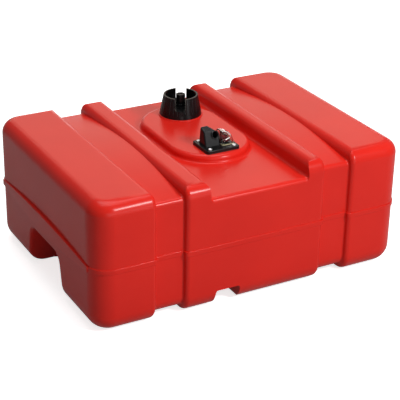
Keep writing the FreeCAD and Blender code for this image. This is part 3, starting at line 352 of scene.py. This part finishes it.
def skin(sections, looped=False):
    """A closed skin over sections of equal point count, with flat ends or joined last to first."""
    work = bmesh.new()
    loops = [[work.verts.new(point * MM) for point in section] for section in sections]
    count = len(loops[0])
    pairs = list(zip(loops, loops[1:]))
    if looped:
        pairs.append((loops[-1], loops[0]))
    for low, high in pairs:
        for index in range(count):
            after = (index + 1) % count
            work.faces.new((low[index], low[after], high[after], high[index]))
    if not looped:
        work.faces.new(list(reversed(loops[0])))
        work.faces.new(loops[-1])
    bmesh.ops.remove_doubles(work, verts=work.verts, dist=1e-7)
    bmesh.ops.recalc_face_normals(work, faces=work.faces)
    return work


def shade(work, angle_deg):
    """Smooth over the rounds, sharp where two faces meet at more than the angle."""
    limit = math.radians(angle_deg)
    for face in work.faces:
        face.smooth = True
    for edge in work.edges:
        edge.smooth = len(edge.link_faces) == 2 and edge.calc_face_angle(0.0) < limit


def put_in_scene(name, mesh):
    piece = bpy.data.objects.new(name, mesh)
    bpy.context.scene.collection.objects.link(piece)
    return piece


def plain_mesh(piece):
    """The piece's mesh with its modifiers worked in and taken off."""
    bpy.context.view_layer.update()
    graph = bpy.context.evaluated_depsgraph_get()
    made = bpy.data.meshes.new_from_object(piece.evaluated_get(graph), depsgraph=graph)
    piece.modifiers.clear()
    piece.data = made
    return piece


def finish_piece(
    name, work, material, body, stands_for=(), angle_deg=SMOOTH_UNDER_DEG, place=None
):
    """Makes a piece from its mesh work, gives it its finish and hangs it on its body."""
    shade(work, angle_deg)
    if place is not None:
        work.transform(place)
    mesh = bpy.data.meshes.new(name)
    work.to_mesh(mesh)
    work.free()
    mesh.materials.append(material)
    return attach(put_in_scene(name, mesh), body, stands_for)


def attach(piece, body, stands_for=()):
    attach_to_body(piece, body)
    if stands_for:
        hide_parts(*stands_for)
    return piece


def plateau(value, marks):
    """Rises from 0 to 1 between the first two marks and falls to 0 between the last two."""
    rise = (value - marks[0]) / (marks[1] - marks[0])
    fall = (marks[3] - value) / (marks[3] - marks[2])
    return max(0.0, min(1.0, rise, fall))


def cut_across(work, axis, levels, low, high):
    """Extra edges at the levels of one axis, through the faces that reach into the box low to high."""
    for level in levels:
        near = []
        for face in work.faces:
            spots = [vert.co for vert in face.verts]
            if all(
                min(spot[i] for spot in spots) < high[i] and max(spot[i] for spot in spots) > low[i]
                for i in range(3)
            ):
                near.append(face)
        edges = {edge for face in near for edge in face.edges}
        verts = {vert for face in near for vert in face.verts}
        place = Vector((0.0, 0.0, 0.0))
        place[axis] = level
        facing = Vector((0.0, 0.0, 0.0))
        facing[axis] = 1.0
        bmesh.ops.bisect_plane(
            work, geom=near + list(edges) + list(verts), dist=1e-7, plane_co=place, plane_no=facing
        )


def deepen_channel(work):
    """Lifts the roof of the channel under the tank and widens it, with the lower edge round kept."""
    left = CHANNEL_WIDEN_ALONG[0]
    right = CHANNEL_RISE_ALONG[3]
    low = Vector((left, -HALF_WIDTH - 1.0, -1.0)) * MM
    high = Vector((right, HALF_WIDTH + 1.0, CHANNEL_RISE_UP[3])) * MM
    count = int((right - left) / CHANNEL_CUT_STEP)
    across = [(left + CHANNEL_CUT_STEP * step) * MM for step in range(count + 1)]
    cut_across(work, 0, across, low, high)
    cut_across(work, 2, [height * MM for height in CHANNEL_CUT_HEIGHTS], low, high)
    round_middle = HALF_WIDTH - LOWER_ROUND
    for vert in work.verts:
        x, y, z = vert.co / MM
        lift = CHANNEL_RISE * plateau(x, CHANNEL_RISE_ALONG) * plateau(z, CHANNEL_RISE_UP)
        shift = CHANNEL_WIDEN * plateau(x, CHANNEL_WIDEN_ALONG) * plateau(z, CHANNEL_WIDEN_UP)
        out = abs(y) - round_middle
        reach = math.hypot(out, max(0.0, LOWER_ROUND - z))
        new_z = z + lift
        if out > 0.0 and lift > 0.0 and reach < LOWER_ROUND + ROUND_SLACK:
            drop = max(0.0, LOWER_ROUND - new_z)
            y = math.copysign(round_middle + math.sqrt(max(0.0, reach ** 2 - drop ** 2)), y)
        vert.co = Vector((x - shift, y, new_z)) * MM


def smooth_copy(node_name, name, body, material, angle_deg=40.0, reshape=None):
    """A copy of a solid, shaded smooth over its rounds and flat over its flats."""
    mesh = NODES[node_name].data.copy()
    mesh.name = name
    piece = put_in_scene(name, mesh)
    work = bmesh.new()
    work.from_mesh(mesh)
    bmesh.ops.remove_doubles(work, verts=work.verts, dist=1e-6)
    if reshape is not None:
        reshape(work)
    shade(work, angle_deg)
    work.to_mesh(mesh)
    work.free()
    mesh.materials.clear()
    mesh.materials.append(material)
    weighted = piece.modifiers.new("weighted", "WEIGHTED_NORMAL")
    weighted.mode = "FACE_AREA"
    weighted.weight = 100
    weighted.keep_sharp = True
    return attach(piece, body, (node_name,))


# ---------------------------------------------------------------- flange screws
def pan_head_screw(length):
    """A threaded screw with a domed head. Height 0 is under the head."""
    around = 32
    inset, rise = SCREW_HEAD_BEVEL
    sections = [round_section(SCREW_TIP_RADIUS, -length, around)]
    sections += threaded_sections(
        SCREW_SHANK_RADIUS - SCREW_THREAD_DEPTH, SCREW_THREAD_DEPTH, SCREW_THREAD_PITCH,
        -length + SCREW_TIP_LENGTH, -SCREW_NECK_LENGTH, around
    )
    sections.append(round_section(SCREW_SHANK_RADIUS, 0.0, around))
    sections.append(round_section(SCREW_HEAD_RADIUS - inset, 0.0, around))
    sections.append(round_section(SCREW_HEAD_RADIUS, rise, around))
    side = SCREW_HEAD_HEIGHT - SCREW_DOME
    for step in range(SCREW_DOME_STEPS):
        turn = math.radians(90.0) * step / SCREW_DOME_STEPS
        radius = SCREW_HEAD_RADIUS * math.cos(turn) ** SCREW_DOME_POWER
        sections.append(round_section(radius, side + SCREW_DOME * math.sin(turn), around))
    sections.append(round_section(SCREW_HEAD_RADIUS * SCREW_CROWN_SHARE, SCREW_HEAD_HEIGHT, around))
    return skin(sections)


def recess_bar(turned):
    """One bar of the cross recess, narrower at its foot."""
    sections = []
    foot = (SCREW_HEAD_HEIGHT - CROSS_DEPTH, CROSS_FOOT_SHARE)
    mouth = (SCREW_HEAD_HEIGHT + CROSS_OVERCUT, CROSS_MOUTH_SHARE)
    for height, share in (foot, mouth):
        half_length = CROSS_LENGTH / 2 * share
        half_width = CROSS_WIDTH / 2 * (0.7 + 0.3 * share)
        corners = [
            (-half_length, -half_width), (half_length, -half_width),
            (half_length, half_width), (-half_length, half_width),
        ]
        if turned:
            corners = [(-y, x) for x, y in corners]
        sections.append([Vector((x, y, height)) for x, y in corners])
    return skin(sections)


def loose_object(name, work):
    mesh = bpy.data.meshes.new(name)
    work.to_mesh(mesh)
    work.free()
    return put_in_scene(name, mesh)


def corner_array(material):
    """Geometry nodes: one fastener repeated at the four corners of a rectangle."""
    tree = bpy.data.node_groups.new("corner_array", "GeometryNodeTree")
    sockets = {}
    for name, kind in (
        ("Fastener", "NodeSocketObject"), ("Spacing X", "NodeSocketFloat"),
        ("Spacing Y", "NodeSocketFloat"), ("Middle", "NodeSocketVector"),
    ):
        sockets[name] = tree.interface.new_socket(name, in_out="INPUT", socket_type=kind).identifier
    tree.interface.new_socket("Geometry", in_out="OUTPUT", socket_type="NodeSocketGeometry")
    given = tree.nodes.new("NodeGroupInput")
    grid = tree.nodes.new("GeometryNodeMeshGrid")
    grid.inputs["Vertices X"].default_value = 2
    grid.inputs["Vertices Y"].default_value = 2
    tree.links.new(given.outputs["Spacing X"], grid.inputs["Size X"])
    tree.links.new(given.outputs["Spacing Y"], grid.inputs["Size Y"])
    info = tree.nodes.new("GeometryNodeObjectInfo")
    tree.links.new(given.outputs["Fastener"], info.inputs["Object"])
    copies = tree.nodes.new("GeometryNodeInstanceOnPoints")
    tree.links.new(grid.outputs["Mesh"], copies.inputs["Points"])
    tree.links.new(info.outputs["Geometry"], copies.inputs["Instance"])
    placed = tree.nodes.new("GeometryNodeTransform")
    tree.links.new(copies.outputs["Instances"], placed.inputs["Geometry"])
    tree.links.new(given.outputs["Middle"], placed.inputs["Translation"])
    finish_tree(tree, placed.outputs["Geometry"], material)
    return tree, sockets


def finish_tree(tree, geometry, material):
    real = tree.nodes.new("GeometryNodeRealizeInstances")
    tree.links.new(geometry, real.inputs["Geometry"])
    coat = tree.nodes.new("GeometryNodeSetMaterial")
    coat.inputs["Material"].default_value = material
    tree.links.new(real.outputs["Geometry"], coat.inputs["Geometry"])
    result = tree.nodes.new("NodeGroupOutput")
    tree.links.new(coat.outputs["Geometry"], result.inputs["Geometry"])


def grown_piece(name, tree, sockets, values):
    """A piece whose mesh the node tree makes from its named inputs."""
    piece = put_in_scene(name, bpy.data.meshes.new(name))
    modifier = piece.modifiers.new("made", "NODES")
    modifier.node_group = tree
    for socket, value in values.items():
        modifier[sockets[socket]] = value
    return plain_mesh(piece)


def flange_screw_set(steel):
    """The four flange screws: one is cut with its cross recess, then repeated at the corners."""
    low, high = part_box("flange_screws")
    seat = high[2] / MM - SCREW_HEAD_HEIGHT
    screw = loose_object("one_screw", pan_head_screw(seat - low[2] / MM))
    bars = [loose_object("recess_bar_%d" % turned, recess_bar(turned)) for turned in (0, 1)]
    for bar in bars:
        cut = screw.modifiers.new("recess", "BOOLEAN")
        cut.operation = "DIFFERENCE"
        cut.solver = "EXACT"
        cut.object = bar
    plain_mesh(screw)
    work = bmesh.new()
    work.from_mesh(screw.data)
    bmesh.ops.remove_doubles(work, verts=work.verts, dist=1e-6)
    bmesh.ops.dissolve_degenerate(work, edges=work.edges, dist=1e-6)
    shade(work, SMOOTH_UNDER_DEG)
    work.to_mesh(screw.data)
    work.free()
    middle = Vector(((low[0] + high[0]) / 2, (low[1] + high[1]) / 2, seat * MM))
    tree, sockets = corner_array(steel)
    piece = grown_piece("flange_screw_set", tree, sockets, {
        "Fastener": screw, "Spacing X": SCREW_SPACING_X * MM,
        "Spacing Y": SCREW_SPACING_Y * MM, "Middle": middle,
    })
    for helper in bars + [screw]:
        bpy.data.objects.remove(helper)
    return attach(piece, "tank", ("flange_screws",))


# ---------------------------------------------------------------- hose port
def port_place():
    """The port's own frame: its axis is Z, with height 0 at the face of the tower."""
    mount = next(m for m in frame["record"]["mounts"] if m["name"] == "fuel_port")
    outward = Vector(mount["axis"]).normalized()
    middle = Vector(mount["pos_m"]) + outward * PORT_SEAT_DEPTH * MM
    return Matrix.Translation(middle) @ outward.to_track_quat("Z", "Y").to_matrix().to_4x4()


def hose_port(plastic):
    """The ringed sleeve in the tower, with its thread and the chamfers at its mouth."""
    around = 48
    mouth = PORT_RING_PROUD
    outside = [
        (PORT_SLEEVE_RADIUS, -PORT_INNER_DEPTH), (PORT_SLEEVE_RADIUS, 0.0), (PORT_RING_RADIUS, 0.0),
        (PORT_RING_RADIUS, mouth - PORT_CHAMFER), (PORT_RING_RADIUS - PORT_CHAMFER, mouth),
        (PORT_BORE + PORT_THREAD_DEPTH + PORT_MOUTH_LIP, mouth),
    ]
    sections = [round_section(radius, height, around) for radius, height in outside]
    bore = threaded_sections(
        PORT_BORE, PORT_THREAD_DEPTH, PORT_THREAD_PITCH, -PORT_INNER_DEPTH, mouth - PORT_CHAMFER, around
    )
    sections += list(reversed(bore))
    return finish_piece(
        "threaded_hose_port", skin(sections, looped=True), plastic, "tank",
        ("fuel_port",), 50.0, port_place()
    )


# ---------------------------------------------------------------- vent screw
def lobed(radius, height):
    """A grip outline: round, with an even ring of rounded ribs."""
    return lambda angle: radius + height * max(0.0, math.cos(KNOB_LOBES * angle)) ** 3


def vent_thumb_screw(plastic):
    """The vent screw: threaded stem, sealing disc and a tall ribbed grip with a dished top."""
    middle, tail, top = node_middle("vent_knob")
    disc_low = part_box("vent_seal")[1][2] / MM + KNOB_CLEARANCE
    disc_radius = (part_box("vent_knob")[1][0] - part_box("vent_knob")[0][0]) / 2 / MM
    disc_top = disc_low + KNOB_DISC_HEIGHT
    around = 96
    inset, rise = STEM_END_BEVEL
    sections = [round_section(STEM_RADIUS - inset, tail, around)]
    sections += threaded_sections(
        STEM_RADIUS - STEM_THREAD_DEPTH, STEM_THREAD_DEPTH, STEM_THREAD_PITCH,
        tail + rise, disc_low - STEM_NECK_LENGTH, around
    )
    plain = [
        (STEM_RADIUS, disc_low), (disc_radius - KNOB_DISC_BEVEL_LOW, disc_low),
        (disc_radius, disc_low + KNOB_DISC_BEVEL_LOW), (disc_radius, disc_top - KNOB_DISC_BEVEL_TOP),
        (disc_radius - KNOB_DISC_BEVEL_TOP, disc_top),
    ]
    sections += [round_section(radius, height, around) for radius, height in plain]
    round_low = top - KNOB_TOP_ROUND
    sections.append(round_section(lobed(KNOB_GRIP_RADIUS, KNOB_LOBE_HEIGHT), disc_top, around))
    sections.append(round_section(lobed(KNOB_GRIP_RADIUS, KNOB_LOBE_HEIGHT), round_low, around))
    for turn_deg in (30.0, 60.0, 90.0):
        turn = math.radians(turn_deg)
        inset = KNOB_TOP_ROUND * (1 - math.cos(turn))
        height = round_low + KNOB_TOP_ROUND * math.sin(turn)
        sections.append(round_section(lobed(KNOB_GRIP_RADIUS - inset, KNOB_LOBE_HEIGHT), height, around))
    sections.append(round_section(KNOB_DISH_RADIUS, top, around))
    sections.append(round_section(KNOB_DISH_RADIUS - KNOB_DISH_TAPER, top - KNOB_DISH_DEPTH, around))
    return finish_piece(
        "vent_thumb_screw", skin(sections), plastic, "vent",
        ("vent_knob",), SMOOTH_UNDER_DEG, Matrix.Translation(middle * MM)
    )


# ---------------------------------------------------------------- neck thread
def neck_thread(red):
    """The moulded thread that winds round the neck, thinning out at both ends."""
    middle = Vector(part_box("cap_gasket")[0]) + Vector(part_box("cap_gasket")[1])
    axis = Vector((middle.x / 2, middle.y / 2, 0.0))
    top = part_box("cap_gasket")[0][2] / MM - NECK_THREAD_TOP
    steps = int(NECK_THREAD_STEPS * NECK_THREAD_TURNS)
    sections = []
    for step in range(steps + 1):
        share = step / steps
        angle = 2 * math.pi * NECK_THREAD_TURNS * share
        height = top - NECK_THREAD_WIDTH / 2 - NECK_THREAD_PITCH * NECK_THREAD_TURNS * share
        fade = min(1.0, NECK_THREAD_FADE * share, NECK_THREAD_FADE * (1 - share))
        size = fade * (1.0 - NECK_THREAD_THINNEST) + NECK_THREAD_THINNEST
        outward = Vector((math.cos(angle), math.sin(angle), 0.0))
        crest = NECK_THREAD_HEIGHT * size
        profile = [
            (-NECK_THREAD_ROOT, -0.5), (crest, -0.3 * size), (crest, 0.3 * size), (-NECK_THREAD_ROOT, 0.5),
        ]
        sections.append([
            outward * (NECK_RADIUS + reach) + Vector((0, 0, height + NECK_THREAD_WIDTH * rise))
            for reach, rise in profile
        ])
    return finish_piece(
        "neck_thread", skin(sections), red, "tank", (), SMOOTH_UNDER_DEG, Matrix.Translation(axis)
    )


# ---------------------------------------------------------------- gauge marks
def arc_of_marks(material):
    """Geometry nodes: short bars set out along an arc that stands upright, square to Y."""
    tree = bpy.data.node_groups.new("arc_of_marks", "GeometryNodeTree")
    sockets = {}
    for name, kind in (
        ("Arc radius", "NodeSocketFloat"), ("Start", "NodeSocketFloat"), ("Sweep", "NodeSocketFloat"),
        ("Count", "NodeSocketInt"), ("Bar", "NodeSocketVector"), ("Pivot", "NodeSocketVector"),
    ):
        sockets[name] = tree.interface.new_socket(name, in_out="INPUT", socket_type=kind).identifier
    tree.interface.new_socket("Geometry", in_out="OUTPUT", socket_type="NodeSocketGeometry")
    given = tree.nodes.new("NodeGroupInput")
    arc = tree.nodes.new("GeometryNodeCurveArc")
    tree.links.new(given.outputs["Count"], arc.inputs["Resolution"])
    tree.links.new(given.outputs["Arc radius"], arc.inputs["Radius"])
    tree.links.new(given.outputs["Start"], arc.inputs["Start Angle"])
    tree.links.new(given.outputs["Sweep"], arc.inputs["Sweep Angle"])
    spots = tree.nodes.new("GeometryNodeCurveToPoints")
    spots.mode = "EVALUATED"
    tree.links.new(arc.outputs["Curve"], spots.inputs["Curve"])
    bar = tree.nodes.new("GeometryNodeMeshCube")
    tree.links.new(given.outputs["Bar"], bar.inputs["Size"])
    copies = tree.nodes.new("GeometryNodeInstanceOnPoints")
    tree.links.new(spots.outputs["Points"], copies.inputs["Points"])
    tree.links.new(bar.outputs["Mesh"], copies.inputs["Instance"])
    tree.links.new(spots.outputs["Rotation"], copies.inputs["Rotation"])
    placed = tree.nodes.new("GeometryNodeTransform")
    placed.inputs["Rotation"].default_value = (math.radians(90.0), 0.0, 0.0)
    tree.links.new(copies.outputs["Instances"], placed.inputs["Geometry"])
    tree.links.new(given.outputs["Pivot"], placed.inputs["Translation"])
    finish_tree(tree, placed.outputs["Geometry"], material)
    return tree, sockets


def gauge_marks(cream):
    """Raised marks on the gauge face, one for each quarter of the pointer's sweep."""
    joint = next(j for j in frame["joints"] if j["name"] == "float_swing")
    pivot = Vector(joint["pos_m"])
    pivot.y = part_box("gauge_scale")[0][1]
    tree, sockets = arc_of_marks(cream)
    piece = grown_piece("gauge_marks", tree, sockets, {
        "Arc radius": MARK_ARC_RADIUS * MM, "Start": math.radians(MARK_FIRST_DEG),
        "Sweep": math.radians(MARK_SWEEP_DEG), "Count": MARK_COUNT,
        "Bar": (MARK_LENGTH * MM, 2 * MARK_PROUD * MM, MARK_WIDTH * MM), "Pivot": pivot,
    })
    return attach(piece, "tank")


# ---------------------------------------------------------------- studio
def set_camera():
    data = bpy.data.cameras.new("camera")
    data.sensor_fit = "HORIZONTAL"
    data.sensor_width = 36.0
    data.lens = FOCAL_LENGTH_MM
    data.clip_start = 0.05
    data.clip_end = 50.0
    camera = bpy.data.objects.new("camera", data)
    back = CAMERA_BACK.normalized()
    right = (-back).cross(Vector((0, 0, 1))).normalized()
    down = (-back).cross(right)
    roll = math.radians(CAMERA_ROLL_DEG)
    axis_x = right * math.cos(roll) + down * math.sin(roll)
    axis_down = down * math.cos(roll) - right * math.sin(roll)
    turn = Matrix((axis_x, -axis_down, back)).transposed().to_4x4()
    camera.matrix_world = Matrix.Translation(CAMERA_PLACE) @ turn
    bpy.context.scene.collection.objects.link(camera)
    bpy.context.scene.camera = camera


def area_light(name, place, target, size_x, size_y, power, colour=(1.0, 1.0, 1.0)):
    data = bpy.data.lights.new(name, "AREA")
    data.shape = "RECTANGLE"
    data.size = size_x
    data.size_y = size_y
    data.energy = power
    data.color = colour
    light = bpy.data.objects.new(name, data)
    light.location = place
    light.rotation_euler = (Vector(target) - Vector(place)).to_track_quat("-Z", "Y").to_euler()
    bpy.context.scene.collection.objects.link(light)
    return light


def white_view(tree):
    """1 for what the camera or the clear window sees, and a small share for reflections."""
    path = tree.nodes.new("ShaderNodeLightPath")
    direct = tree.nodes.new("ShaderNodeMath")
    direct.operation = "MAXIMUM"
    tree.links.new(path.outputs["Is Camera Ray"], direct.inputs[0])
    tree.links.new(path.outputs["Is Transmission Ray"], direct.inputs[1])
    shiny = tree.nodes.new("ShaderNodeMath")
    shiny.operation = "MULTIPLY_ADD"
    shiny.use_clamp = True
    shiny.inputs[1].default_value = SHEEN_SHARE
    tree.links.new(path.outputs["Is Glossy Ray"], shiny.inputs[0])
    tree.links.new(direct.outputs[0], shiny.inputs[2])
    return shiny.outputs[0]


def floor_white():
    """Matt white where it is seen, and a quieter grey as a bounce card."""
    material = bpy.data.materials.new("floor_white")
    material.use_nodes = True
    tree = material.node_tree
    seen = tree.nodes["Principled BSDF"]
    seen.inputs["Base Color"].default_value = (0.9, 0.9, 0.9, 1.0)
    seen.inputs["Roughness"].default_value = 0.9
    seen.inputs["Specular IOR Level"].default_value = 0.0
    seen.inputs["Emission Color"].default_value = (1.0, 1.0, 1.0, 1.0)
    seen.inputs["Emission Strength"].default_value = FLOOR_LIFT
    bounce = tree.nodes.new("ShaderNodeBsdfDiffuse")
    bounce.inputs["Color"].default_value = FLOOR_BOUNCE
    mix = tree.nodes.new("ShaderNodeMixShader")
    tree.links.new(white_view(tree), mix.inputs["Fac"])
    tree.links.new(bounce.outputs[0], mix.inputs[1])
    tree.links.new(seen.outputs[0], mix.inputs[2])
    tree.links.new(mix.outputs[0], tree.nodes["Material Output"].inputs["Surface"])
    return material


def floor():
    bpy.ops.mesh.primitive_plane_add(size=FLOOR_SIZE, location=(0.0, 0.0, -FLOOR_DROP))
    plane = bpy.context.object
    plane.name = "studio_floor"
    plane.data.materials.append(floor_white())


def world():
    """A white room where it is seen, and a dim one as light on the object."""
    scene_world = bpy.data.worlds.new("studio")
    bpy.context.scene.world = scene_world
    scene_world.use_nodes = True
    tree = scene_world.node_tree
    background = tree.nodes["Background"]
    background.inputs["Color"].default_value = (1.0, 1.0, 1.0, 1.0)
    strength = remap(tree, white_view(tree), ROOM_LIGHT, 1.0)
    tree.links.new(strength, background.inputs["Strength"])


def main():
    red = tank_plastic()
    black = moulded_plastic(
        "black_fitting", BLACK_PLASTIC, BLACK_PLASTIC_WORN, *BLACK_ROUGHNESS, 900.0, 0.00004, BLACK_SPECULAR
    )
    seal = rubber("black_rubber", RUBBER_BLACK, RUBBER_GREY)
    pale_seal = rubber("cream_seal", CREAM_DEEP, CREAM)
    steel = metal("bright_steel", (0.86, 0.86, 0.87, 1.0), (0.96, 0.96, 0.96, 1.0), 0.30, 0.44)
    brass = metal("turned_brass", (0.62, 0.44, 0.17, 1.0), (0.76, 0.57, 0.26, 1.0), 0.22, 0.36)
    aluminium = metal("drawn_aluminium", (0.62, 0.63, 0.64, 1.0), (0.76, 0.77, 0.78, 1.0), 0.3, 0.45)
    nylon = moulded_plastic("natural_nylon", (0.68, 0.68, 0.60, 1.0), (0.78, 0.78, 0.70, 1.0), 0.4, 0.5)
    finishes = {
        "screw_inserts": brass,
        "cap_gasket": seal,
        "vent_seat": brass,
        "vent_seal": seal,
        "vent_clip": steel,
        "head_gasket": seal,
        "pickup_tube": aluminium,
        "pickup_filter": nylon,
        "lens_gasket": pale_seal,
        "gauge_scale": scale_card(),
        "float_lever": steel,
        "pivot_pin": steel,
        "gauge_float": foam(),
        "float_clips": steel,
    }
    for name, material in finishes.items():
        dress(name, material)
    smooth_copy("tank_body", "tank_shell", "tank", red, reshape=deepen_channel)
    smooth_copy("cap_shell", "cap_grip_shell", "cap", black, 30.0)
    smooth_copy("inner_cap", "inner_screw_cap", "cap", black)
    smooth_copy("withdrawal_head", "head_moulding", "tank", black)
    smooth_copy("gauge_lens", "gauge_window", "tank", clear_plastic())
    neck_thread(red)
    flange_screw_set(steel)
    hose_port(black)
    vent_thumb_screw(black)
    gauge_marks(pale_seal)
    set_camera()
    floor()
    world()
    area_light("front_key", (0.62, -1.62, 1.36), (0.0, 0.0, 0.15), 0.34, 0.14, 23.0)
    area_light("front_low", (0.05, -2.40, 0.50), (0.0, 0.0, 0.1), 2.4, 0.9, 12.0)
    area_light("overhead", (0.1, 0.2, 2.5), (0.0, 0.0, 0.2), 1.8, 1.8, 34.5)
    area_light("back_wall", (1.0, 2.6, 1.5), (0.0, 0.0, 0.1), 2.6, 1.8, 13.0, WARM_WHITE)
    area_light("horizon", (1.6, 2.2, 0.22), (0.0, 0.0, 0.22), 2.6, 0.4, 5.0)


main()
bpy.context.scene.view_settings.view_transform = "Standard"
